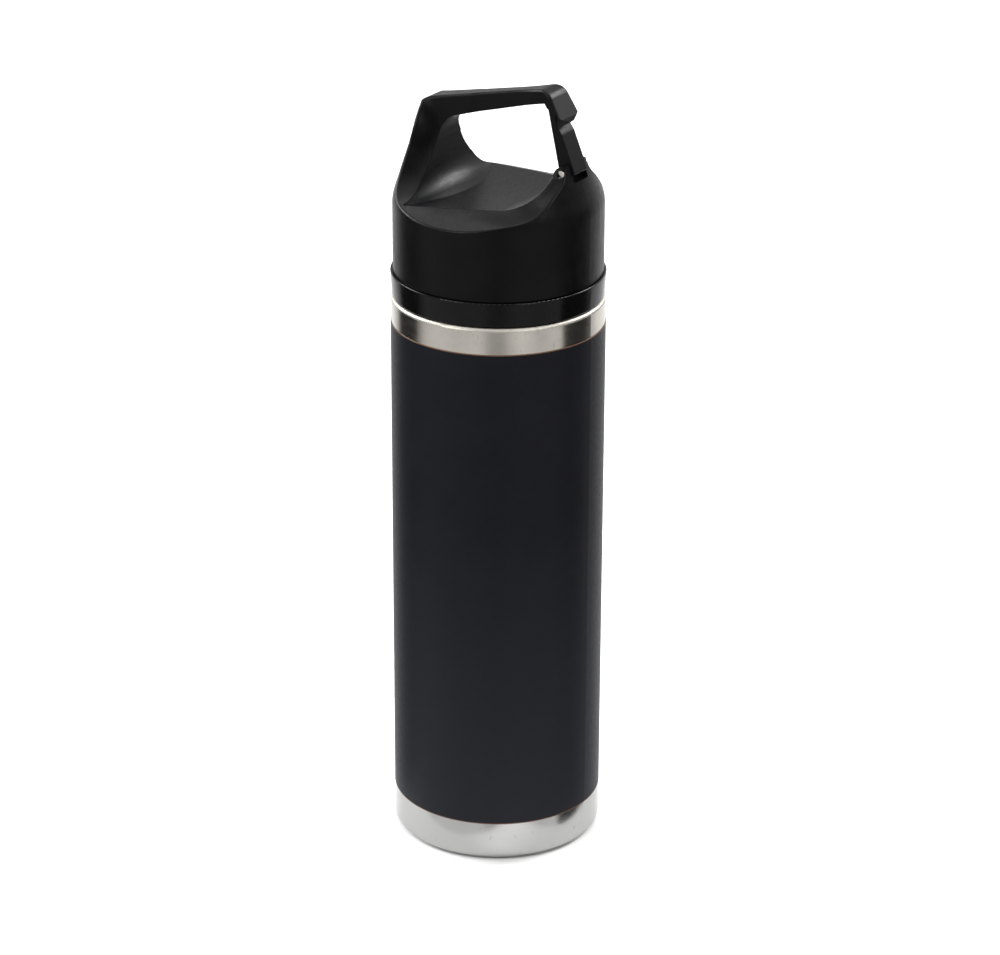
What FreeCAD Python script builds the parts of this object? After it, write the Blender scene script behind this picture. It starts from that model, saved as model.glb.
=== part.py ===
"""Vacuum insulated water bottle with a screw-on drinking spout and a screw cap with a carabiner handle.

Millimetres.  The origin is on the floor under the middle of the base, +Z is up along the bottle's axis, and
+X points from the axis to the side of the handle where the gate is hinged.
"""
import FreeCAD, Part
import math
import os

V = FreeCAD.Vector
UP = V(0, 0, 1)
AXIS = V(0, 0, 0)

# ---------------------------------------------------------------- driving dimensions: vessel
BODY_DIAMETER = 73.0        # over the coating
STEEL_HEIGHT = 198.5        # floor to the top of the outer wall's shoulder
COAT_THICKNESS = 0.15
LOWER_BAND = 14.4           # bare steel below the coating
UPPER_BAND = 9.1            # bare steel above the coating
OUTER_WALL = 0.6
LINER_WALL = 0.5
NECK_WALL = 0.8
VACUUM_GAP = 3.2            # between outer wall and liner
CORNER_RADIUS = 2.4         # bottom edge of the outer wall
SHOULDER_RADIUS = 1.0       # top edge of the outer wall
FOOT_WIDTH = 2.6            # flat that the outer wall turns in at the bottom
FOOT_LIFT = 0.3             # steel foot above the floor, which the pad touches
BASE_RISE = 3.0             # recess under the base
BASE_GAP = 5.5              # vacuum between the two bases
DIMPLE_RADIUS = 7.0
DIMPLE_RISE = 1.8
PORT_RADIUS = 1.2           # evacuation port in the dimple
BEAD_RADIUS = 3.4
BEAD_DEPTH = 1.2            # under the port
BEAD_HEAD = 0.3             # above it
BASE_TURN = 1.0             # flat of the base that lies on the foot
PAD_CLEARANCE = 0.4
PAD_RIM = 4.0               # width of the pad's foot ring
PAD_HOLLOW = 1.2            # how far the middle of the pad stays off the floor
LINER_CORNER = 8.0
LINER_SEAM = 1.0            # weld seam above that corner
FOIL = 0.15
FOIL_GAP = 0.15
FOIL_BASE_RADIUS = 23.0
FOIL_SETBACK = 4.0          # foil's upper edge below the liner's necking
GETTER_RADIUS = 4.6
GETTER_THICKNESS = 1.6
GETTER_OFFSET = 16.0        # getter's distance from the axis
CLIP_SHEET = 0.4
CLIP_RIM = 1.3
LINER_SHOULDER = 9.0        # how far below the outer shoulder the liner starts to neck in
LINER_NECKING = 6.0         # height over which it does

# ---------------------------------------------------------------- driving dimensions: neck, collar, threads
NECK_SETBACK = 6.2          # from the body's surface in to the neck's surface
NECK_HEIGHT = 11.5
THREAD_PITCH = 4.0
RIDGE_HEIGHT = 1.1
RIDGE_BASE = 2.0            # width of a thread ridge at its root
RIDGE_TIP = 1.0
RIDGE_SINK = 0.4            # how far a ridge's root lies in its wall
THREAD_CLEARANCE = 0.3      # radial, at root and tip
THREAD_SEAT = 0.4           # how far below mid-gap the nut's ridge sits, so that its upper flank pulls
THREAD_LENGTH = 6.0         # height over which the neck's and the spout's ridge climb
NECK_THREAD_START = 3.2     # first ridge above the shoulder
COLLAR_GAP = 0.3            # between the steel shoulder and the collar
COLLAR_HEIGHT = 8.5         # what shows of the collar
COLLAR_DRAFT = 0.6          # narrower at its lower edge
SEAL_THICKNESS = 1.5
PLATE_THICKNESS = 2.2       # collar's top, between skirt and spout
SPOUT_SETBACK = 6.3         # from the neck's surface in to the spout's surface
SPOUT_WALL = 2.2
SPOUT_HEIGHT = 10.8
SPOUT_THREAD_START = 2.6
SEAL_CLEARANCE = 0.3
COLLAR_SEAL_WIDTH = 2.6

# ---------------------------------------------------------------- driving dimensions: cap
CAP_SETBACK = 0.9           # cap's wall behind the collar's edge
CAP_WALL = 2.2
CAP_GAP = 0.25              # cap's lower edge above the collar's ledge
CAP_CLEARANCE = 0.4         # round the collar's top, inside the cap
CUP_WALL = 2.0              # threaded inner cup
CUP_FLANGE = 1.8
CUP_LIFT = 0.5              # cup's flange above the collar's top
SEAT_STEP = 0.6             # shoulder that the cup's flange is welded against
FOAM_CLEARANCE = 0.3
FOAM_THICKNESS = 2.2
FLOOR_WALL = 1.7            # cap's floor at the foot of the post
HOLLOW_SLOPE = 6.3          # width of the sloping rim over the foam
OVERCUT = 1.0               # how far cutting bodies reach past what they cut
CAP_SEAL_WIDTH = 5.0

# ---------------------------------------------------------------- driving dimensions: handle and gate
POST_DEPTH = 15.6           # from the cap's wall in to the post's inner face
POST_LEAN = 0.8             # how far the post's inner face leans in at the bar
BAR_RISE = 25.4             # from the floor up to the bar, at the post
BAR_SLOPE = 0.27            # of its underside
BAR_TOP_SLOPE = 0.21
BAR_DEPTH = 7.2             # at the post
BAR_HALF_WIDTH = 3.3
WINDOW_RADIUS = 7.0         # between post and bar
CAP_CORNER_INSET = 7.5      # handle's upper corner over the post, from the cap's wall
CAP_CORNER_LEAN = 2.6
CAP_CORNER_RADIUS = 5.5
NOSE_HALF_WIDTH = 6.0
NOSE_LENGTH = 6.4
NOSE_RADIUS = 4.5
NOSE_TOP_SETBACK = 5.5
NOSE_DROP = 4.5             # how far the nose's sides reach below the bar
NOSE_KEEL = 1.7             # how much lower the middle of its underside is
NOSE_FLAT = 2.0             # half width of that middle
NOSE_LEAN = 0.43            # of its outer face below the sides' lower edge
NOSE_UNDER_SLOPE = 0.57     # of its underside, down towards the outer face
NOSE_INSET = 8.4            # from the cap's wall in to the nose's lower outer edge
LIP_LENGTH = 3.2            # of the nose's lip, which the gate's tip closes against
LIP_STEP = 0.6
EAR_RISE = 16.8             # from the floor up to the ears' tops
EAR_RADIUS = 2.4
PIN_INSET = 6.9             # hinge pin's axis from the cap's wall
PIN_RISE = 14.5             # hinge pin's axis above the floor
PIN_RADIUS = 1.2
PIN_RUNNING = 0.05          # radial clearance in the gate
PIN_HALF_LENGTH = 7.6
GATE_HALF_WIDTH = 4.2
GATE_CLEARANCE = 0.3
GATE_TIP_GAP = 0.8          # under the bar
GATE_BARREL = 2.6           # radius round the pin
GATE_TIP_DEPTH = 6.1        # from the nose's outer edge in to the back of the gate's tip
GATE_LIP_DEPTH = 2.6        # and to its front, behind the nose's lip
GATE_TIP_SLOPE = 1.0
GATE_SHOULDER_DROP = 3.2    # under the nose's sides, where the gate steps out from behind the lip
GATE_KNEE_DROP = 5.3        # where its outer face starts down to the pin
GATE_KNEE_SETBACK = 0.5
GATE_HEEL = 3.3             # outer face in front of the pin's axis
GATE_HEEL_DROP = 0.6
GATE_EDGE_RADIUS = 0.45
NOTCH_CLEARANCE = 0.8       # under the gate's barrel
NOTCH_REACH = 7.0
SPRING_WIRE = 0.35          # wire radius
SPRING_RADIUS = 1.8
SPRING_TURNS = 3.5
SPRING_PITCH = 0.85
SPRING_CLEARANCE = 0.2      # in the gate's pocket
GUSSET_RADIUS = 11.5        # sweep from the post into the floor, in the middle plane
GUSSET_END_RADIUS = 0.6
GUSSET_SETBACK = 9.0        # of its ends from the cap's wall
GUSSET_STEP = 0.08          # how far it stands proud of the floor and the post
DISH_DEPTH = 0.8            # ledges' inner edges above the middle of the floor
DISH_HALF_WIDTH = 27.0
DISH_CLIMB = 3.2            # floor's rise from the post to the ears
DISH_END_INSET = 5.8        # from the pin back to where the floor turns up to the ears
DISH_END_RADIUS = 14.0
RELIEF_CLEARANCE = 5.0      # from the ears' tops up to the bar's relief
SKIRT_DROP = 1.5            # from the floor down to where the cap's wall starts to draw in
CAP_TAPER = (               # how far the outside has drawn in, at each height above the skirt
    (0.0, 0.0), (0.45, 3.2), (1.55, 6.7), (3.1, 11.5), (5.25, 18.5), (6.8, 25.5), (9.0, 43.5),
)
SCOOP_CAP_RADIUS = 35.6     # cap radius for which the ledge rows below are written
SCOOP_LEDGE_ROWS = 4        # the rows that lie in the ledges, which follow the cap's radius
SCOOP_RISES = (-3.1, -1.5, -0.2, 0.8, 4.0, 7.0, 10.0, 13.5, 18.0, 23.0, 26.5, 29.5, 33.0, 47.5)

# ---------------------------------------------------------------- places that follow from them
body_r = BODY_DIAMETER / 2
steel_r = body_r - COAT_THICKNESS
foot_r = steel_r - CORNER_RADIUS - FOOT_WIDTH
base_z = FOOT_LIFT + BASE_RISE
base_top = base_z + OUTER_WALL
liner_r = steel_r - OUTER_WALL - VACUUM_GAP
liner_z = base_top + BASE_GAP
liner_joint = liner_z + LINER_CORNER + LINER_SEAM
neck_r = body_r - NECK_SETBACK
neck_top = STEEL_HEIGHT + NECK_HEIGHT
neck_thread_z = STEEL_HEIGHT + NECK_THREAD_START
necking_z = STEEL_HEIGHT - LINER_SHOULDER

collar_z = STEEL_HEIGHT + COLLAR_GAP
ledge_z = collar_z + COLLAR_HEIGHT
collar_bore = neck_r + RIDGE_HEIGHT + THREAD_CLEARANCE
plate_z = neck_top + SEAL_THICKNESS
plate_top = plate_z + PLATE_THICKNESS
spout_thread_z = plate_top + SPOUT_THREAD_START
spout_r = neck_r - SPOUT_SETBACK
spout_bore = spout_r - SPOUT_WALL
spout_top = plate_top + SPOUT_HEIGHT

cap_r = body_r - CAP_SETBACK
cap_bore = cap_r - CAP_WALL
cap_z = ledge_z + CAP_GAP
collar_top_r = cap_bore - CAP_CLEARANCE
cup_bore = spout_r + RIDGE_HEIGHT + THREAD_CLEARANCE
cup_r = cup_bore + CUP_WALL
cup_z = plate_top + CUP_LIFT
cup_seat = cup_z + CUP_FLANGE
cup_ceiling = spout_top + SEAL_THICKNESS
cup_top = cup_ceiling + CUP_WALL
hollow_r = cap_bore - SEAT_STEP
hollow_top = cup_top + FOAM_THICKNESS + 2 * FOAM_CLEARANCE
floor_z = hollow_top + FLOOR_WALL

post_x = POST_DEPTH - cap_r
pin_x = cap_r - PIN_INSET
pin_z = floor_z + PIN_RISE
nose_x = cap_r - NOSE_INSET
bar_z = floor_z + BAR_RISE
bar_top_z = bar_z + BAR_DEPTH
ear_top = floor_z + EAR_RISE
FAR = cap_r + 15.0

# Handle's half width at each of SCOOP_RISES above the floor, from the post's outside to the ears' outside.
SCOOP_STATIONS = (
    (-cap_r - 0.6, [45.0, 35.0, 31.0, 27.5, 24.5, 22.0, 20.0, 18.5, 17.0, 14.6, 12.2, 7.6, 5.2, 4.6]),
    (post_x - 7.4, [45.0, 35.0, 31.2, 27.8, 23.2, 20.0, 17.6, 15.6, 13.0, 12.4, 10.4, 6.6, 4.6, 4.2]),
    (post_x, [45.0, 35.0, 31.3, 28.0, 20.2, 16.4, 13.6, 10.5, 7.7, 5.4, 4.8, 4.4, 4.1, 3.8]),
    (post_x + 10.0, [45.0, 35.0, 31.4, 28.2, 20.0, 16.0, 13.2, 10.0, 7.0, 5.0, 4.4, 4.0, 3.8, 3.6]),
    (post_x + 24.0, [45.0, 35.0, 31.5, 28.5, 19.8, 15.8, 13.0, 10.0, 7.2, 5.4, 4.8, 4.4, 4.2, 4.0]),
    (pin_x - 4.7, [45.0, 35.5, 32.0, 28.6, 18.6, 14.6, 12.1, 9.6, 7.3, 6.4, 6.3, 6.2, 6.2, 6.4]),
    (pin_x + 2.3, [45.0, 36.0, 32.5, 29.0, 21.0, 16.2, 12.0, 7.8, 6.4, 6.4, 6.4, 6.4, 6.4, 6.6]),
    (cap_r + 0.9, [45.0, 36.0, 32.8, 29.3, 22.0, 17.0, 12.2, 7.6, 6.4, 6.4, 6.4, 6.4, 6.4, 6.6]),
)
# Bar's half width from the post to the nose's end.
RELIEF_STATIONS = (
    (post_x + 8.0, 4.8),
    (post_x + 14.0, BAR_HALF_WIDTH + 0.1),
    (0.0, BAR_HALF_WIDTH),
    (nose_x - 13.2, BAR_HALF_WIDTH + 0.2),
    (nose_x - 7.7, BAR_HALF_WIDTH + 1.5),
    (nose_x - 4.0, NOSE_HALF_WIDTH - 0.2),
    (nose_x + 2.0, NOSE_HALF_WIDTH),
)
# Handle's rounded edges: radius, and a place (x, half width, height above the floor) on each of them.
SOFT_EDGES = (
    (0.9, ((0.0, cap_r, -1.7), (post_x - 7.3, 18.5, 8.6), (pin_x - 1.6, 21.8, 3.0))),
    (0.9, ((post_x + 3.5, 4.0, 33.3), (post_x - 6.0, 5.1, 31.1), (nose_x - 22.0, 3.2, 37.9))),
    (0.6, ((nose_x - 21.9, 3.2, 32.2),)),
    (0.6, ((post_x, 8.8, 16.1), (post_x, 12.1, 11.6))),
    (0.6, ((pin_x - 2.7, 9.2, 13.4), (pin_x - 7.5, 15.5, 5.9), (pin_x - 31.8, 24.9, 1.9))),
)


def bar_under_z(x):
    """Height of the bar's underside at x."""
    return bar_z + BAR_SLOPE * (x - post_x)


# ---------------------------------------------------------------- shape helpers
def rounded_wire(corners, place):
    """Closed wire through corners (u, v, fillet radius); place turns (u, v) into a point in space."""
    count = len(corners)
    starts = []
    middles = []
    ends = []
    for i, (u, v, radius) in enumerate(corners):
        here = V(u, v, 0)
        back = V(*corners[i - 1][:2], 0) - here
        ahead = V(*corners[(i + 1) % count][:2], 0) - here
        back.normalize()
        ahead.normalize()
        half = back.getAngle(ahead) / 2
        reach = radius / math.tan(half)
        inward = back + ahead
        if radius:
            inward.normalize()
        starts.append(here + back * reach)
        middles.append(here + inward * (radius / math.sin(half) - radius))
        ends.append(here + ahead * reach)
    edges = []
    for i, (u, v, radius) in enumerate(corners):
        if radius:
            arc = [place(p.x, p.y) for p in (starts[i], middles[i], ends[i])]
            edges.append(Part.Arc(*arc).toShape())
        follow = starts[(i + 1) % count]
        if (follow - ends[i]).Length > 1e-6:
            edges.append(Part.LineSegment(place(ends[i].x, ends[i].y), place(follow.x, follow.y)).toShape())
    return Part.Wire(edges)


def in_xz(u, v):
    return V(u, 0, v)


def turned(corners):
    """Solid turned about Z from a closed outline of (radius, height, fillet radius)."""
    return Part.Face(rounded_wire(corners, in_xz)).revolve(AXIS, UP, 360)


def across(corners, half_width):
    """Prism of an (x, z, fillet radius) outline, from -half_width to +half_width along Y."""
    face = Part.Face(rounded_wire(corners, in_xz))
    face.translate(V(0, -half_width, 0))
    return face.extrude(V(0, 2 * half_width, 0))


def thread_ridge(wall_r, z, climb, outward):
    """Right-hand helical ridge on a wall of radius wall_r; it stands outward (1) or inward (-1)."""
    helix = Part.makeHelix(THREAD_PITCH, climb, wall_r)
    helix.translate(V(0, 0, z))
    root = wall_r - outward * RIDGE_SINK
    tip = wall_r + outward * RIDGE_HEIGHT
    section = Part.makePolygon([
        V(root, 0, z - RIDGE_BASE / 2),
        V(tip, 0, z - RIDGE_TIP / 2),
        V(tip, 0, z + RIDGE_TIP / 2),
        V(root, 0, z + RIDGE_BASE / 2),
        V(root, 0, z - RIDGE_BASE / 2),
    ])
    return Part.Wire(helix).makePipeShell([section], True, True)


def male_thread(wall_r, z):
    return thread_ridge(wall_r, z, THREAD_LENGTH, 1)


def female_thread(wall_r, z):
    """Ridge inside a nut, between the turns of the male ridge that starts at height z."""
    rise = THREAD_PITCH / 2
    return thread_ridge(wall_r, z + rise - THREAD_SEAT, THREAD_LENGTH - rise, -1)


def cylinder_along_y(radius, x, z, half_length):
    return Part.makeCylinder(radius, 2 * half_length, V(x, -half_length, z), V(0, 1, 0))


# ---------------------------------------------------------------- vessel
def outer_wall():
    """Straight tube whose lower edge turns in as the foot and whose upper edge turns in to the neck."""
    inner_r = steel_r - OUTER_WALL
    return turned([
        (foot_r, FOOT_LIFT, 0),
        (steel_r, FOOT_LIFT, CORNER_RADIUS),
        (steel_r, STEEL_HEIGHT, SHOULDER_RADIUS),
        (neck_r, STEEL_HEIGHT, 0),
        (neck_r, STEEL_HEIGHT - OUTER_WALL, 0),
        (inner_r, STEEL_HEIGHT - OUTER_WALL, SHOULDER_RADIUS - OUTER_WALL),
        (inner_r, FOOT_LIFT + OUTER_WALL, CORNER_RADIUS - OUTER_WALL),
        (foot_r, FOOT_LIFT + OUTER_WALL, 0),
    ])


def outer_base():
    """Stamped pan with a recess and, in its middle, a dimple with the evacuation port."""
    slope = OUTER_WALL / 2
    recess_r = foot_r - BASE_RISE
    return turned([
        (foot_r, FOOT_LIFT, 0),
        (foot_r, FOOT_LIFT + OUTER_WALL, 0),
        (foot_r - BASE_TURN, FOOT_LIFT + OUTER_WALL, 0.5),
        (recess_r - slope, base_top, 0.5),
        (DIMPLE_RADIUS + slope, base_top, 0.5),
        (DIMPLE_RADIUS - DIMPLE_RISE + slope, base_top + DIMPLE_RISE, 0.5),
        (PORT_RADIUS, base_top + DIMPLE_RISE, 0),
        (PORT_RADIUS, base_z + DIMPLE_RISE, 0),
        (DIMPLE_RADIUS - DIMPLE_RISE, base_z + DIMPLE_RISE, 0.8),
        (DIMPLE_RADIUS, base_z, 0.8),
        (recess_r, base_z, 0.8),
        (foot_r - BASE_TURN + slope, FOOT_LIFT, 0.8),
    ])


def seal_bead():
    """Braze bead that fills the port and spreads under it."""
    port_z = base_z + DIMPLE_RISE
    return turned([
        (0, port_z - BEAD_DEPTH, 0),
        (BEAD_RADIUS, port_z - BEAD_DEPTH, 1.0),
        (BEAD_RADIUS, port_z, 0),
        (PORT_RADIUS, port_z, 0),
        (PORT_RADIUS, port_z + OUTER_WALL + BEAD_HEAD, 0.2),
        (0, port_z + OUTER_WALL + BEAD_HEAD, 0),
    ])


def foot_pad():
    """Soft disc in the recess; its outer ring is what the bottle stands on."""
    pad_r = foot_r - BASE_RISE - PAD_CLEARANCE
    return turned([
        (0, base_z, 0),
        (pad_r, base_z, 0.3),
        (pad_r, 0, 0.5),
        (pad_r - PAD_RIM, 0, 0.5),
        (pad_r - PAD_RIM, PAD_HOLLOW, 0.4),
        (0, PAD_HOLLOW, 0),
    ])


def inner_wall():
    """Liner: straight tube that necks in, passes the outer wall and ends in the threaded mouth."""
    liner_bore = liner_r - LINER_WALL
    mouth_r = neck_r - NECK_WALL
    necked_z = necking_z + LINER_NECKING
    tube = turned([
        (liner_r, liner_joint, 0),
        (liner_r, necking_z, 3.0),
        (neck_r, necked_z, 2.0),
        (neck_r, neck_top, 0.25),
        (mouth_r, neck_top, 0.25),
        (mouth_r, necked_z, 3.0),
        (liner_bore, necking_z, 2.0),
        (liner_bore, liner_joint, 0),
    ])
    return tube.fuse(male_thread(neck_r, neck_thread_z))


def inner_base():
    """Stamped bottom of the liner, butt welded to its tube."""
    liner_bore = liner_r - LINER_WALL
    return turned([
        (0, liner_z, 0),
        (liner_r, liner_z, LINER_CORNER),
        (liner_r, liner_joint, 0),
        (liner_bore, liner_joint, 0),
        (liner_bore, liner_z + LINER_WALL, LINER_CORNER - LINER_WALL),
        (0, liner_z + LINER_WALL, 0),
    ])


def tube_between(inner_r, outer_r, low, high):
    return turned([(inner_r, low, 0), (outer_r, low, 0), (outer_r, high, 0), (inner_r, high, 0)])


def radiation_foil():
    return tube_between(liner_r + FOIL_GAP, liner_r + FOIL_GAP + FOIL, liner_joint, necking_z - FOIL_SETBACK)


def foil_base():
    return tube_between(0, FOIL_BASE_RADIUS, liner_z - FOIL_GAP - FOIL, liner_z - FOIL_GAP)


def getter_clip():
    """Small stamped tray welded on the outer base."""
    tray_r = GETTER_RADIUS + CLIP_SHEET
    tray = turned([
        (0, base_top, 0),
        (tray_r, base_top, 0.3),
        (tray_r, base_top + CLIP_RIM, 0),
        (GETTER_RADIUS, base_top + CLIP_RIM, 0),
        (GETTER_RADIUS, base_top + CLIP_SHEET, 0),
        (0, base_top + CLIP_SHEET, 0),
    ])
    tray.translate(V(GETTER_OFFSET, 0, 0))
    return tray


def getter_pellet():
    seat = base_top + CLIP_SHEET
    pellet = turned([
        (0, seat, 0),
        (GETTER_RADIUS, seat, 0),
        (GETTER_RADIUS, seat + GETTER_THICKNESS, 0.4),
        (0, seat + GETTER_THICKNESS, 0),
    ])
    pellet.translate(V(GETTER_OFFSET, 0, 0))
    return pellet


def body_coating():
    return tube_between(steel_r, body_r, LOWER_BAND, STEEL_HEIGHT - UPPER_BAND)


# ---------------------------------------------------------------- collar
def spout_collar():
    """Skirt with a thread inside, a ledge for the cap's edge, and the drinking spout with a thread outside."""
    body = turned([
        (collar_bore, collar_z, 0.3),
        (body_r - COLLAR_DRAFT, collar_z, 0.4),
        (body_r, ledge_z, 0.35),
        (collar_top_r, ledge_z, 0.3),
        (collar_top_r, plate_top, 0.8),
        (spout_r, plate_top, 0.6),
        (spout_r, spout_top, 0.6),
        (spout_bore, spout_top, 0.6),
        (spout_bore, plate_z, 0.8),
        (collar_bore, plate_z, 0.3),
    ])
    body = body.fuse(female_thread(collar_bore, neck_thread_z))
    return body.fuse(male_thread(spout_r, spout_thread_z))


def collar_seal():
    outer_r = collar_bore - SEAL_CLEARANCE
    return turned([
        (outer_r - COLLAR_SEAL_WIDTH, neck_top, 0.2),
        (outer_r, neck_top, 0.2),
        (outer_r, plate_z, 0.2),
        (outer_r - COLLAR_SEAL_WIDTH, plate_z, 0.2),
    ])


# ---------------------------------------------------------------- cap
def scoop_edge(x, widths):
    """Curve in the plane at x: the handle's half width against height above the floor."""
    curve = Part.BSplineCurve()
    curve.interpolate([V(x, half, floor_z + rise) for half, rise in zip(widths, SCOOP_RISES)])
    return Part.Wire([curve.toShape()])


def scooped_front_and_back():
    """What is cut away in front of and behind the handle, down to the two ledges."""
    ledge = cap_r - SCOOP_CAP_RADIUS
    edges = []
    for x, widths in SCOOP_STATIONS:
        low = [half + ledge for half in widths[:SCOOP_LEDGE_ROWS]]
        edges.append(scoop_edge(x, low + widths[SCOOP_LEDGE_ROWS:]))
    front = Part.makeLoft(edges, False, False).extrude(V(0, FAR, 0))
    return front.fuse(front.mirror(AXIS, V(0, 1, 0)))


def handle_side_view():
    """Outline in XZ: rounded corner over the post, sloping top of the bar, nose at the end."""
    corner_x = CAP_CORNER_INSET - cap_r
    top_x = nose_x - NOSE_TOP_SETBACK
    top_z = bar_top_z + BAR_TOP_SLOPE * (top_x - post_x)
    nose_low = bar_under_z(nose_x - NOSE_LENGTH) - NOSE_DROP
    return across([
        (-FAR, 0, 0),
        (-FAR, floor_z, 0),
        (corner_x - CAP_CORNER_LEAN, floor_z + EAR_RISE, 0),
        (corner_x, bar_top_z + BAR_TOP_SLOPE * (corner_x - post_x), CAP_CORNER_RADIUS),
        (top_x, top_z, NOSE_RADIUS),
        (nose_x, nose_low, 0),
        (nose_x + 2 * NOSE_LEAN * NOSE_KEEL, nose_low - 2 * NOSE_KEEL, 0),
        (FAR, nose_low - 2 * NOSE_KEEL, 0),
        (FAR, 0, 0),
    ], FAR)


def handle_window():
    """What is cut away through the handle above the ears: the loop and the gap that the gate closes."""
    nose_side = nose_x - NOSE_LENGTH
    under = bar_under_z(nose_side)
    keel_x = nose_x + NOSE_LEAN * NOSE_KEEL
    keel_z = under - NOSE_DROP - NOSE_KEEL
    back_x = nose_x - LIP_LENGTH
    return across([
        (post_x, ear_top - EAR_RADIUS, 0),
        (FAR, ear_top - EAR_RADIUS, 0),
        (FAR, keel_z, 0),
        (keel_x, keel_z, 0),
        (back_x, keel_z + NOSE_UNDER_SLOPE * (keel_x - back_x), 0.5),
        (nose_side + 0.4, under - LIP_STEP, 0.3),
        (nose_side, under, 0),
        (post_x + POST_LEAN, bar_z, WINDOW_RADIUS),
    ], FAR).cut(ear_blocks())


def nose_cheeks():
    """What is cut off under both sides of the nose, so that its underside has a keel."""
    start_x = nose_x - NOSE_LENGTH
    keel_x = nose_x + NOSE_LEAN * NOSE_KEEL
    keel_z = bar_under_z(start_x) - NOSE_DROP - NOSE_KEEL
    start_z = keel_z + NOSE_UNDER_SLOPE * (keel_x - start_x)
    rise = NOSE_KEEL / (NOSE_HALF_WIDTH - NOSE_FLAT)
    outer_y = NOSE_HALF_WIDTH + 2.0
    corners = [
        V(start_x, NOSE_FLAT, start_z),
        V(start_x, outer_y, start_z + rise * (outer_y - NOSE_FLAT)),
        V(start_x, outer_y, start_z - 2 * NOSE_KEEL),
        V(start_x, NOSE_FLAT, start_z - 2 * NOSE_KEEL),
    ]
    run = 2 * NOSE_LENGTH
    side = Part.Face(Part.makePolygon(corners + corners[:1])).extrude(V(run, 0, -run * NOSE_UNDER_SLOPE))
    return side.fuse(side.mirror(AXIS, V(0, 1, 0)))


def ear_blocks():
    """Rounded tops of the two ears, seen along the pin."""
    return across([
        (pin_x - EAR_RADIUS, 0, 0),
        (pin_x - EAR_RADIUS, ear_top, EAR_RADIUS),
        (FAR, ear_top, 0),
        (FAR, 0, 0),
    ], FAR)


def dish():
    """Floor between post and ears: a trough that rises to the gate side and, by a parabola, to both ledges."""
    sections = []
    for share in (-1.6, -1.0, -0.5, 0.0, 0.5, 1.0, 1.6):
        lift = DISH_DEPTH * share * share
        outline = rounded_wire([
            (post_x, floor_z + lift, 0),
            (pin_x - DISH_END_INSET, floor_z + DISH_CLIMB + lift, DISH_END_RADIUS),
            (pin_x - EAR_RADIUS, ear_top - EAR_RADIUS, 0),
            (pin_x - EAR_RADIUS, ear_top + OVERCUT, 0),
            (post_x, ear_top + OVERCUT, 0),
        ], in_xz)
        outline.translate(V(0, share * DISH_HALF_WIDTH, 0))
        sections.append(outline)
    return Part.makeLoft(sections, True, False)


def post_gusset():
    """Concave sweep from the post's inner face into the floor, deepest in the middle plane."""
    wires = []
    for share in (-1.0, -0.5, 0.0, 0.5, 1.0):
        y = share * (cap_r - GUSSET_SETBACK)
        radius = GUSSET_RADIUS * (1 - share * share) + GUSSET_END_RADIUS
        back = post_x - 2 * OVERCUT
        low = floor_z - OVERCUT
        knee = V(post_x + radius, y, floor_z + DISH_DEPTH * share * share + GUSSET_STEP)
        head = V(post_x + GUSSET_STEP, y, knee.z + radius)
        centre = V(knee.x, y, head.z)
        middle = centre + V(-1, 0, -1).normalize() * radius
        wires.append(Part.Wire([
            Part.LineSegment(V(back, y, low), V(knee.x, y, low)).toShape(),
            Part.LineSegment(V(knee.x, y, low), knee).toShape(),
            Part.Arc(knee, middle, head).toShape(),
            Part.LineSegment(head, V(back, y, head.z)).toShape(),
            Part.LineSegment(V(back, y, head.z), V(back, y, low)).toShape(),
        ]))
    return Part.makeLoft(wires, True, False)


def bar_plan_relief():
    """What is cut off both sides of the bar, so that it is slim and flares out into the nose."""
    low = ear_top + RELIEF_CLEARANCE
    flare = Part.BSplineCurve()
    flare.interpolate([V(x, half, low) for x, half in RELIEF_STATIONS])
    x0, start = RELIEF_STATIONS[0]
    x1, end = RELIEF_STATIONS[-1]
    side = Part.Wire([
        flare.toShape(),
        Part.LineSegment(V(x1, end, low), V(x1, FAR, low)).toShape(),
        Part.LineSegment(V(x1, FAR, low), V(x0, FAR, low)).toShape(),
        Part.LineSegment(V(x0, FAR, low), V(x0, start, low)).toShape(),
    ])
    block = Part.Face(side).extrude(V(0, 0, FAR))
    return block.fuse(block.mirror(AXIS, V(0, 1, 0)))


def gate_outline(grow):
    """Gate's XZ outline, grown by a clearance; the tip lies behind the nose's lip."""
    under = bar_under_z(nose_x - NOSE_LENGTH)
    tip_z = under - GATE_TIP_GAP + grow
    lip_x = nose_x - GATE_LIP_DEPTH + grow
    side_z = under - NOSE_DROP
    return [
        (nose_x - GATE_TIP_DEPTH - grow, tip_z, 0.5),
        (lip_x - GATE_TIP_SLOPE, tip_z, 0.5),
        (lip_x + GATE_TIP_SLOPE * 0.6, side_z - GATE_SHOULDER_DROP, 0.8),
        (nose_x - GATE_KNEE_SETBACK + grow, side_z - GATE_KNEE_DROP, 4.0),
        (pin_x + GATE_HEEL + grow, pin_z - GATE_HEEL_DROP - grow, 1.0),
        (pin_x + 0.4, pin_z - GATE_BARREL - grow, 1.0),
        (pin_x - GATE_BARREL - grow, pin_z - GATE_BARREL + 1.0, 2.0),
    ]


def softened(form, radius, places):
    """Form with its edges nearest to places (x, half width, height above the floor) rounded, on both sides."""
    picked = []
    for x, half, rise in places:
        for side in (-1, 1):
            spot = Part.Vertex(V(x, side * half, floor_z + rise))
            edge = min(form.Edges, key=lambda candidate: candidate.distToShape(spot)[0])
            if not any(edge.isSame(other) for other in picked):
                picked.append(edge)
    return form.makeFillet(radius, picked)


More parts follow.
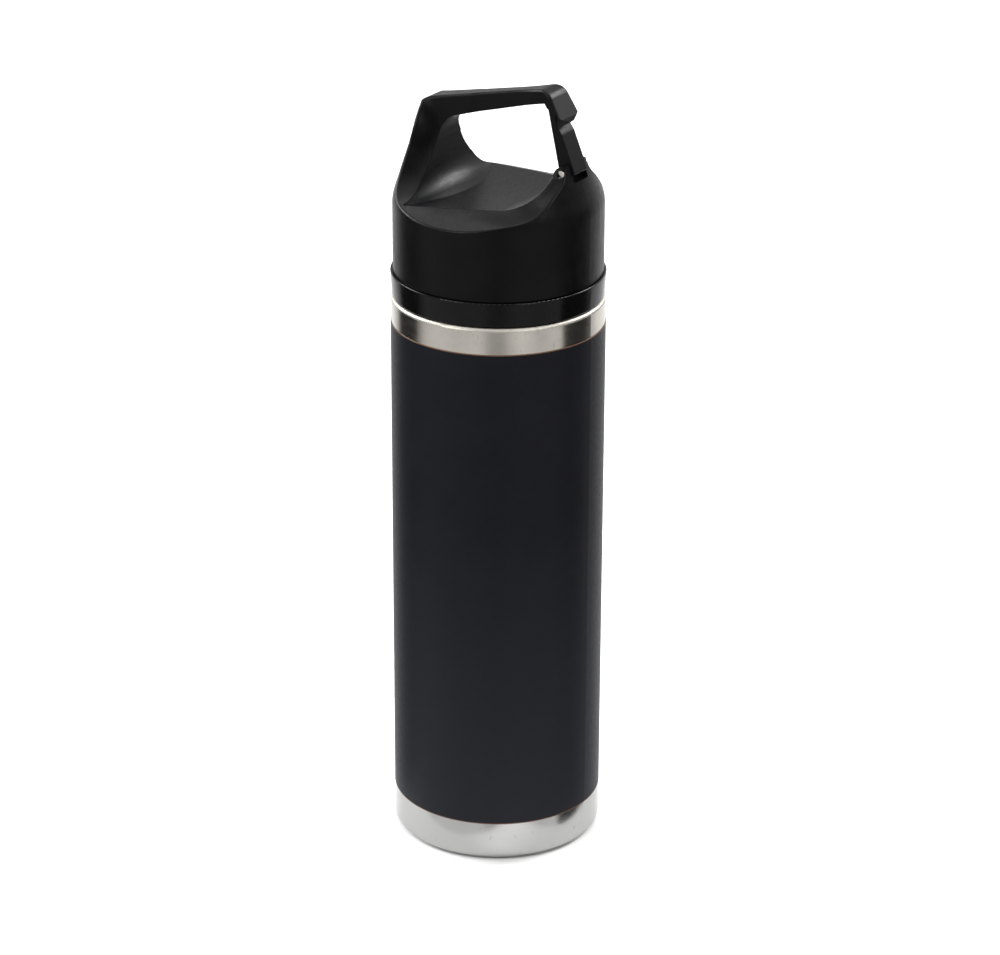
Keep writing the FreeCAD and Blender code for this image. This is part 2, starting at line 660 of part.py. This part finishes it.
def cap_outer_form():
    """Round skirt that tapers in above the ledges, as deep as the handle is high."""
    skirt_top = floor_z - SKIRT_DROP
    taper = Part.BSplineCurve()
    taper.interpolate([V(cap_r - inset, 0, skirt_top + rise) for inset, rise in CAP_TAPER])
    top = V(cap_r - CAP_TAPER[-1][0], 0, skirt_top + CAP_TAPER[-1][1])
    outline = Part.Wire([
        Part.LineSegment(V(0, 0, cap_z), V(cap_r, 0, cap_z)).toShape(),
        Part.LineSegment(V(cap_r, 0, cap_z), V(cap_r, 0, skirt_top)).toShape(),
        taper.toShape(),
        Part.LineSegment(top, V(0, 0, top.z)).toShape(),
        Part.LineSegment(V(0, 0, top.z), V(0, 0, cap_z)).toShape(),
    ])
    return Part.Face(outline).revolve(AXIS, UP, 360)


def cap_hollow():
    """Space inside the cap: bore for the collar's top, step for the cup's flange, room for the foam."""
    return turned([
        (0, cap_z - OVERCUT, 0),
        (cap_bore, cap_z - OVERCUT, 0),
        (cap_bore, cup_seat, 0),
        (hollow_r, cup_seat, 0),
        (hollow_r, hollow_top - FOAM_THICKNESS, 0.5),
        (hollow_r - HOLLOW_SLOPE, hollow_top, 0.5),
        (0, hollow_top, 0),
    ])


def cap_shell():
    form = cap_outer_form().common(handle_side_view())
    form = form.cut(handle_window())
    form = form.cut(nose_cheeks())
    form = form.cut(dish())
    form = form.fuse(post_gusset())
    form = form.cut(scooped_front_and_back())
    form = form.common(cap_outer_form())
    form = form.cut(bar_plan_relief())
    slot = GATE_HALF_WIDTH + GATE_CLEARANCE
    notch_z = pin_z - GATE_BARREL - NOTCH_CLEARANCE
    notch = across([
        (pin_x - NOTCH_REACH, notch_z, 0),
        (FAR, notch_z, 0),
        (FAR, ear_top + OVERCUT, 0),
        (pin_x - NOTCH_REACH, ear_top + OVERCUT, 0),
    ], slot)
    form = form.cut(notch)
    form = form.cut(across(gate_outline(GATE_CLEARANCE), slot))
    form = form.cut(cylinder_along_y(PIN_RADIUS, pin_x, pin_z, FAR))
    form = form.cut(cap_hollow())
    for radius, places in SOFT_EDGES:
        form = softened(form, radius, places)
    return form


def cap_liner():
    """Threaded inner cup; its flange is welded to the shell and closes the foam in."""
    cup = turned([
        (cup_bore, cup_z, 0.3),
        (cap_bore, cup_z, 0),
        (cap_bore, cup_seat, 0),
        (cup_r, cup_seat, 0.5),
        (cup_r, cup_top, 1.0),
        (0, cup_top, 0),
        (0, cup_ceiling, 0),
        (cup_bore, cup_ceiling, 0.3),
    ])
    return cup.fuse(female_thread(cup_bore, spout_thread_z))


def cap_insulation():
    """Foam bell round and over the inner cup."""
    top = hollow_top - FOAM_CLEARANCE
    return turned([
        (cup_r + FOAM_CLEARANCE, cup_seat + FOAM_CLEARANCE, 0),
        (hollow_r - FOAM_CLEARANCE, cup_seat + FOAM_CLEARANCE, 0),
        (hollow_r - FOAM_CLEARANCE, top - FOAM_THICKNESS, 0.4),
        (hollow_r - FOAM_CLEARANCE - HOLLOW_SLOPE, top, 0.4),
        (0, top, 0),
        (0, cup_top + FOAM_CLEARANCE, 0),
        (cup_r + FOAM_CLEARANCE, cup_top + FOAM_CLEARANCE, 0.4),
    ])


def cap_seal():
    outer_r = cup_bore - SEAL_CLEARANCE
    return turned([
        (outer_r - CAP_SEAL_WIDTH, spout_top, 0.3),
        (outer_r, spout_top, 0.3),
        (outer_r, cup_ceiling, 0.3),
        (outer_r - CAP_SEAL_WIDTH, cup_ceiling, 0.3),
    ])


# ---------------------------------------------------------------- gate
def gate_pin():
    return cylinder_along_y(PIN_RADIUS, pin_x, pin_z, PIN_HALF_LENGTH)


def spring_pocket_half_width():
    return SPRING_TURNS * SPRING_PITCH / 2 + SPRING_WIRE + 1.5 * SPRING_CLEARANCE


def gate():
    """Sprung gate: slim lever with a barrel round the pin and a pocket for the spring."""
    form = across(gate_outline(0.0), GATE_HALF_WIDTH)
    rims = [edge for edge in form.Edges if abs(abs(edge.CenterOfMass.y) - GATE_HALF_WIDTH) < 0.01]
    form = form.makeFillet(GATE_EDGE_RADIUS, rims)
    form = form.cut(cylinder_along_y(PIN_RADIUS + PIN_RUNNING, pin_x, pin_z, FAR))
    pocket_r = SPRING_RADIUS + SPRING_WIRE + SPRING_CLEARANCE
    pocket = cylinder_along_y(pocket_r, pin_x, pin_z, spring_pocket_half_width())
    return form.cut(pocket)


def gate_spring():
    """Torsion spring round the pin, in the gate's pocket."""
    length = SPRING_TURNS * SPRING_PITCH
    coil = Part.makeHelix(SPRING_PITCH, length, SPRING_RADIUS)
    ring = Part.Wire(Part.makeCircle(SPRING_WIRE, V(SPRING_RADIUS, 0, 0), V(0, 1, 0)))
    spring = Part.Wire(coil).makePipeShell([ring], True, True)
    spring.translate(V(0, 0, -length / 2))
    spring.rotate(AXIS, V(1, 0, 0), 90)
    spring.translate(V(pin_x, 0, pin_z))
    return spring


NODES = [
    outer_wall, outer_base, seal_bead, foot_pad, inner_wall, inner_base, radiation_foil, foil_base,
    getter_clip, getter_pellet, body_coating, spout_collar, collar_seal, cap_shell, cap_liner,
    cap_insulation, cap_seal, gate_pin, gate, gate_spring,
]

os.makedirs("parts", exist_ok=True)
for make in NODES:
    shape = make()
    print(make.__name__, shape.ShapeType, len(shape.Solids), shape.isValid(), round(shape.Volume, 1))
    shape.exportStep("parts/" + make.__name__ + ".step")
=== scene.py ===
"""Looks for the insulated bottle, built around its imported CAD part.

Lengths are in metres in the part's own frame: the bottle stands on z = 0 around
the Z axis, the carabiner loop lies in the XZ plane and its gate is on the +X side.
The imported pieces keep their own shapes; each gets a procedural finish here.
"""
import math

import bpy
from mathutils import Matrix, Vector


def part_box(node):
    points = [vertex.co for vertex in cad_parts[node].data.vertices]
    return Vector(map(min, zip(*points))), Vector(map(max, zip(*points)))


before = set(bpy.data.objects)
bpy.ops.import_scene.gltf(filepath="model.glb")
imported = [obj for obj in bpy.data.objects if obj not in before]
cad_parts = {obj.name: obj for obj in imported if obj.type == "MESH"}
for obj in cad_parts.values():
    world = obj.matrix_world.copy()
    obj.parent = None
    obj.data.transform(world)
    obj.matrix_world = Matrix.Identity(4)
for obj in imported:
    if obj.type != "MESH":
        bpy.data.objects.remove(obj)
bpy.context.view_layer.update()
MM = 0.001

# ---------------------------------------------------------------- material helpers


def add(tree, kind, inputs=None, **settings):
    """A new node of that kind; inputs are numbers, colours or sockets to join."""
    made = tree.nodes.new(kind)
    for name, value in settings.items():
        setattr(made, name, value)
    for socket, value in (inputs or {}).items():
        if isinstance(value, bpy.types.NodeSocket):
            tree.links.new(value, made.inputs[socket])
        else:
            made.inputs[socket].default_value = value
    return made


def blank(name):
    """A new material with its shader, and its node tree."""
    made = bpy.data.materials.new(name)
    made.use_nodes = True
    tree = made.node_tree
    tree.nodes.clear()
    shader = add(tree, "ShaderNodeBsdfPrincipled")
    add(tree, "ShaderNodeOutputMaterial", {"Surface": shader.outputs[0]})
    return made, tree, shader


def place_on(tree, scale=(1, 1, 1), turn=(0, 0, 0)):
    """The piece's own coordinates in metres, scaled and turned."""
    where = add(tree, "ShaderNodeTexCoord")
    mapping = add(tree, "ShaderNodeMapping", {"Vector": where.outputs["Object"]})
    mapping.inputs["Scale"].default_value = scale
    mapping.inputs["Rotation"].default_value = turn
    return mapping.outputs[0]


def noise(tree, vector, scale, detail=3.0, rough=0.5):
    """Even noise from 0 to 1, scale in waves per metre."""
    inputs = {"Vector": vector, "Scale": scale, "Detail": detail, "Roughness": rough}
    return add(tree, "ShaderNodeTexNoise", inputs).outputs["Fac"]


def spread(tree, value, low, high, start=0.3, stop=0.7):
    """value from start..stop carried over to low..high."""
    inputs = {"Value": value, "From Min": start, "From Max": stop, "To Min": low, "To Max": high}
    return add(tree, "ShaderNodeMapRange", inputs).outputs[0]


def tint(tree, value, stops):
    """A colour ramp: stops are (place, colour)."""
    made = add(tree, "ShaderNodeValToRGB", {"Fac": value})
    ramp = made.color_ramp
    while len(ramp.elements) < len(stops):
        ramp.elements.new(0.5)
    for element, (place, colour) in zip(ramp.elements, stops):
        element.position = place
        element.color = (*colour, 1)
    return made.outputs[0]


def mixed(tree, share, first, second):
    """Colour between first and second by share."""
    made = add(tree, "ShaderNodeMix", data_type="RGBA")
    factor, colour_a, colour_b = 0, 6, 7
    for socket, value in ((factor, share), (colour_a, first), (colour_b, second)):
        if isinstance(value, bpy.types.NodeSocket):
            tree.links.new(value, made.inputs[socket])
        else:
            made.inputs[socket].default_value = value
    return made.outputs[2]


def bump(tree, shader, height, strength, distance):
    """Small relief from a height value, distance in metres."""
    made = add(tree, "ShaderNodeBump", {"Height": height, "Strength": strength, "Distance": distance})
    tree.links.new(made.outputs[0], shader.inputs["Normal"])


def height_band(tree, low, high, soft):
    """1 where the piece's own height lies between low and high, 0 elsewhere, soft at both limits."""
    own = add(tree, "ShaderNodeTexCoord")
    height = add(tree, "ShaderNodeSeparateXYZ", {"Vector": own.outputs["Object"]}).outputs["Z"]
    above = spread(tree, height, 0.0, 1.0, low - soft, low + soft)
    below = spread(tree, height, 1.0, 0.0, high - soft, high + soft)
    return add(tree, "ShaderNodeMath", {0: above, 1: below}, operation="MULTIPLY").outputs[0]


def set_gloss(material, level):
    """How strongly the material's clear surface reflects: 0.5 is ordinary plastic."""
    material.node_tree.nodes["Principled BSDF"].inputs["Specular IOR Level"].default_value = level


# ---------------------------------------------------------------- finishes


def moulded_black(gloss):
    """Moulded lid plastic: near black, with a fine spark-eroded grain and faint rubbed streaks."""
    made, tree, shader = blank("moulded_black")
    own = place_on(tree)
    patches = tint(tree, noise(tree, own, 90.0, 4.0), [
        (0.3, (0.0014, 0.0014, 0.0017)),
        (0.7, (0.0022, 0.0022, 0.0026)),
    ])
    tree.links.new(patches, shader.inputs["Base Color"])
    scuffs = noise(tree, place_on(tree, (1, 0.25, 0.12), (0.0, 0.5, 0.3)), 1400.0, 5.0, 0.65)
    tree.links.new(spread(tree, scuffs, 0.27, 0.42), shader.inputs["Roughness"])
    bump(tree, shader, noise(tree, own, 2600.0, 2.0), 0.4, 0.03 * MM)
    set_gloss(made, gloss)
    return made


def powder_coat(low, high, gloss):
    """Satin powder coating: bluish charcoal, made lighter near its foot as painted light bounced from the
    floor, copper at its ends, low and high.
    """
    made, tree, shader = blank("powder_coat")
    own = place_on(tree)
    charcoal = tint(tree, noise(tree, own, 60.0, 3.0), [
        (0.3, (0.0056, 0.0058, 0.0078)),
        (0.7, (0.0068, 0.0070, 0.0092)),
    ])
    # Painted light: the coat gets lighter towards its foot, standing in for the light the floor bounces onto
    # it.
    floor_bounce_tint = (0.0145, 0.0150, 0.0185, 1)
    bounce_lit_charcoal = mixed(tree, height_band(tree, -60.0 * MM, 70.0 * MM, 60.0 * MM), charcoal, floor_bounce_tint)
    rim = 0.30 * MM
    inside = height_band(tree, low + rim, high - rim, rim / 5)
    copper = (0.11, 0.06, 0.036, 1)
    tree.links.new(mixed(tree, inside, copper, bounce_lit_charcoal), shader.inputs["Base Color"])
    tree.links.new(spread(tree, noise(tree, own, 700.0, 3.0), 0.36, 0.44), shader.inputs["Roughness"])
    bump(tree, shader, noise(tree, own, 1500.0, 3.0), 0.25, 0.04 * MM)
    set_gloss(made, gloss)
    return made


def brushed_steel(name, colour, foot_reflection_colour, shoulder):
    """Stainless steel brushed around the axis: fine lines, soft clouds, scratches, and a foot band in its
    given colour, which stands in as a painted reflection of the floor.

    The rolled edge from height shoulder up is duller, where the brushing wheel doesn't reach.
    """
    made, tree, shader = blank(name)
    lines = noise(tree, place_on(tree, (0.02, 0.02, 1.0)), 6500.0, 3.0, 0.6)
    cloud = noise(tree, place_on(tree), 110.0, 4.0, 0.6)
    marks = noise(tree, place_on(tree, (1.0, 1.0, 0.35), (0.4, 0.2, 0.0)), 900.0, 2.0, 0.4)
    shader.inputs["Metallic"].default_value = 1.0
    upper = tint(tree, cloud, [(0.25, tuple(0.86 * c for c in colour)), (0.75, colour)])
    # Painted reflection: the foot band takes its own colour in place of the darker, more neutral reflection
    # the lower wall shows.
    foot = height_band(tree, -5.0 * MM, 30.0 * MM, 2.0 * MM)
    base = mixed(tree, foot, upper, (*foot_reflection_colour, 1))
    worn = tint(tree, marks, [(0.70, (0, 0, 0)), (0.76, (1, 1, 1))])
    scratch = (*(0.7 * c for c in colour), 1)
    tree.links.new(mixed(tree, worn, base, scratch), shader.inputs["Base Color"])
    satin = spread(tree, lines, 0.10, 0.24)
    edge = height_band(tree, shoulder, shoulder + 2.7 * MM, 0.2 * MM)
    rough = add(tree, "ShaderNodeMath", {0: edge, 1: 0.35, 2: satin}, operation="MULTIPLY_ADD")
    tree.links.new(rough.outputs[0], shader.inputs["Roughness"])
    bump(tree, shader, lines, 0.3, 0.01 * MM)
    return made


def plain(name, colour, rough, metal=0.0, scale=900.0, lift=0.02 * MM):
    """A simple finish with slight mottling and a fine surface grain; scale is the grain's waves per metre."""
    made, tree, shader = blank(name)
    own = place_on(tree)
    darker = tuple(0.85 * c for c in colour)
    mottled = tint(tree, noise(tree, own, scale * 0.2, 3.0), [(0.3, darker), (0.7, colour)])
    tree.links.new(mottled, shader.inputs["Base Color"])
    satin = spread(tree, noise(tree, own, scale, 2.0), rough - 0.05, rough + 0.05)
    tree.links.new(satin, shader.inputs["Roughness"])
    shader.inputs["Metallic"].default_value = metal
    bump(tree, shader, noise(tree, own, scale * 2, 2.0), 0.3, lift)
    return made


STEEL = (0.50, 0.47, 0.425)
# Painted reflection: a darker, more neutral steel tone for the wall's foot, standing in for what the lower
# band reflects.
FOOT_STEEL_PAINTED_REFLECTION = (0.43, 0.43, 0.42)
coat_low, coat_high = (corner[2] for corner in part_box("body_coating"))
shoulder_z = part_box("outer_wall")[1][2] - 1.2 * MM

steel_brushed = brushed_steel("steel_brushed", STEEL, STEEL, shoulder_z)
shell_steel = brushed_steel("shell_steel", STEEL, FOOT_STEEL_PAINTED_REFLECTION, shoulder_z)
lid_black = moulded_black(0.09)
coat_finish = powder_coat(coat_low, coat_high, 0.05)
collar_black = plain("collar_black", (0.0018, 0.0018, 0.002), 0.16, scale=500.0, lift=0.004 * MM)
set_gloss(collar_black, 0.14)
silicone = plain("silicone_grey", (0.05, 0.05, 0.052), 0.55)
pad_rubber = plain("pad_rubber", (0.015, 0.015, 0.016), 0.6)
foil = plain("copper_foil", (0.80, 0.42, 0.28), 0.25, metal=1.0)
braze = plain("braze_bead", (0.55, 0.52, 0.45), 0.35, metal=1.0)
getter = plain("getter_pellet", (0.30, 0.29, 0.28), 0.7, metal=0.3)
foam = plain("lid_foam", (0.75, 0.72, 0.64), 0.9, lift=0.1 * MM)

FINISH = {
    "outer_wall": shell_steel,
    "outer_base": steel_brushed,
    "inner_wall": steel_brushed,
    "inner_base": steel_brushed,
    "seal_bead": braze,
    "foot_pad": pad_rubber,
    "radiation_foil": foil,
    "foil_base": foil,
    "getter_clip": steel_brushed,
    "getter_pellet": getter,
    "body_coating": coat_finish,
    "spout_collar": collar_black,
    "collar_seal": silicone,
    "cap_shell": lid_black,
    "cap_liner": lid_black,
    "cap_insulation": foam,
    "cap_seal": silicone,
    "gate_pin": steel_brushed,
    "gate": lid_black,
    "gate_spring": steel_brushed,
}
for node_name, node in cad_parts.items():
    node.material_slots[0].material = FINISH[node_name]

# ---------------------------------------------------------------- floor


def floor_plate(name, half, height, material):
    """A flat square of side 2 * half at z = height: one face with its normal up."""
    corners = [(-half, -half, height), (half, -half, height), (half, half, height), (-half, half, height)]
    mesh = bpy.data.meshes.new(name)
    mesh.from_pydata(corners, [], [(0, 1, 2, 3)])
    mesh.materials.append(material)
    made = bpy.data.objects.new(name, mesh)
    bpy.context.scene.collection.objects.link(made)
    return made


floor_white, _, floor_shader = blank("floor_white")
floor_shader.inputs["Base Color"].default_value = (0.66, 0.66, 0.66, 1)
floor_shader.inputs["Roughness"].default_value = 0.9
floor_shader.inputs["Specular IOR Level"].default_value = 0.0
# Reflections see only the plate close to the foot; beyond it they see the studio's low cards.
floor = floor_plate("floor", 6.0, -0.1 * MM, floor_white)
floor.visible_glossy = False
floor_plate("near_floor", 52.0 * MM, 0.0, floor_white)

# ---------------------------------------------------------------- camera's direction and lights

CAMERA_TURN = math.radians(32.0 - 0.039)
CAMERA_TILT = math.radians(90.0 - 22.94)
CAMERA_ROLL = math.radians(0.196)
CAMERA_PLACE = (0.5708, -0.9134, 0.5863)
AIM = (0, 0, 0.15)


def around(azimuth, distance, height):
    """A point at azimuth degrees to the right of the camera's direction from the axis, seen from above."""
    angle = math.radians(-90.0) + CAMERA_TURN + math.radians(azimuth)
    return (distance * math.cos(angle), distance * math.sin(angle), height)


def softbox(name, centre, width, height, power):
    """A rectangular light at centre that faces the bottle."""
    light = bpy.data.lights.new(name, "AREA")
    light.shape = "RECTANGLE"
    light.size = width
    light.size_y = height
    light.energy = power
    made = bpy.data.objects.new(name, light)
    facing = (Vector(AIM) - Vector(centre)).to_track_quat("-Z", "Y")
    made.matrix_world = Matrix.Translation(centre) @ facing.to_matrix().to_4x4()
    bpy.context.scene.collection.objects.link(made)


softbox("key_left", around(-50, 1.6, 1.3), 0.7, 1.0, 22.0)
softbox("key_right", around(48, 1.6, 1.2), 0.6, 0.9, 15.0)
softbox("top", (0, 0, 1.9), 1.4, 1.4, 16.0)
softbox("rim_right", around(120, 1.5, 1.2), 0.6, 0.6, 30.0)
softbox("back_top", around(172, 1.1, 1.7), 1.3, 0.8, 14.0)
softbox("rim_left", around(-112, 1.5, 0.9), 0.9, 0.8, 34.0)

# ---------------------------------------------------------------- studio

# Brightness round the bottle against the azimuth to the right of the camera's direction:
# low cards, which the upright walls reflect, and the room above them.
LOW_CARDS = (
    (-180, 1.4), (-150, 1.3), (-137, 0.8), (-129, 0.04), (-99, 0.04), (-93, 0.45), (-86, 0.85),
    (-66, 1.0), (-42, 0.94), (-18, 0.98), (-8, 0.58), (4, 0.54), (12, 0.85), (24, 1.05),
    (48, 0.84), (71, 1.0), (75, 0.04), (111, 0.04), (119, 0.6), (127, 1.2), (180, 1.4),
)
ROOM = (
    (-180, 0.5), (-150, 0.8), (-110, 1.2), (-80, 0.3), (0, 0.2),
    (80, 0.3), (110, 1.0), (150, 0.7), (180, 0.5),
)


def brightness_round(tree, whole, table):
    """Grey ramp over the whole turn, from a table of (azimuth in degrees, brightness)."""
    return tint(tree, whole, [(azimuth / 360 + 0.5, (value, value, value)) for azimuth, value in table])


world = bpy.data.worlds.new("studio")
bpy.context.scene.world = world
world.use_nodes = True
sky = world.node_tree
ray = add(sky, "ShaderNodeTexCoord")
turned = add(sky, "ShaderNodeVectorRotate", {"Vector": ray.outputs["Generated"]}, rotation_type="Z_AXIS")
turned.inputs["Angle"].default_value = -CAMERA_TURN
along = add(sky, "ShaderNodeSeparateXYZ", {"Vector": turned.outputs[0]})
ahead = add(sky, "ShaderNodeMath", {0: along.outputs["Y"], 1: -1.0}, operation="MULTIPLY")
azimuth = add(sky, "ShaderNodeMath", {0: along.outputs["X"], 1: ahead.outputs[0]}, operation="ARCTAN2")
whole = spread(sky, azimuth.outputs[0], 0.0, 1.0, -math.pi, math.pi)
upward = spread(sky, along.outputs["Z"], 0.0, 1.0, -0.05, 0.12)
surround = mixed(sky, upward, brightness_round(sky, whole, LOW_CARDS), brightness_round(sky, whole, ROOM))
sky.links.new(surround, sky.nodes["Background"].inputs["Color"])
sky.nodes["Background"].inputs["Strength"].default_value = 1.0

# ---------------------------------------------------------------- camera

lens = bpy.data.cameras.new("camera")
lens.sensor_fit = "HORIZONTAL"
lens.sensor_width = 36.0
lens.lens = 121.84
lens.clip_start = 0.01
lens.clip_end = 50.0
camera = bpy.data.objects.new("camera", lens)
aim_turn = Matrix.Rotation(CAMERA_TURN, 4, "Z") @ Matrix.Rotation(CAMERA_TILT, 4, "X")
camera.matrix_world = Matrix.Translation(CAMERA_PLACE) @ aim_turn @ Matrix.Rotation(CAMERA_ROLL, 4, "Z")
bpy.context.scene.collection.objects.link(camera)
bpy.context.scene.camera = camera
bpy.context.scene.view_settings.view_transform = "Standard"
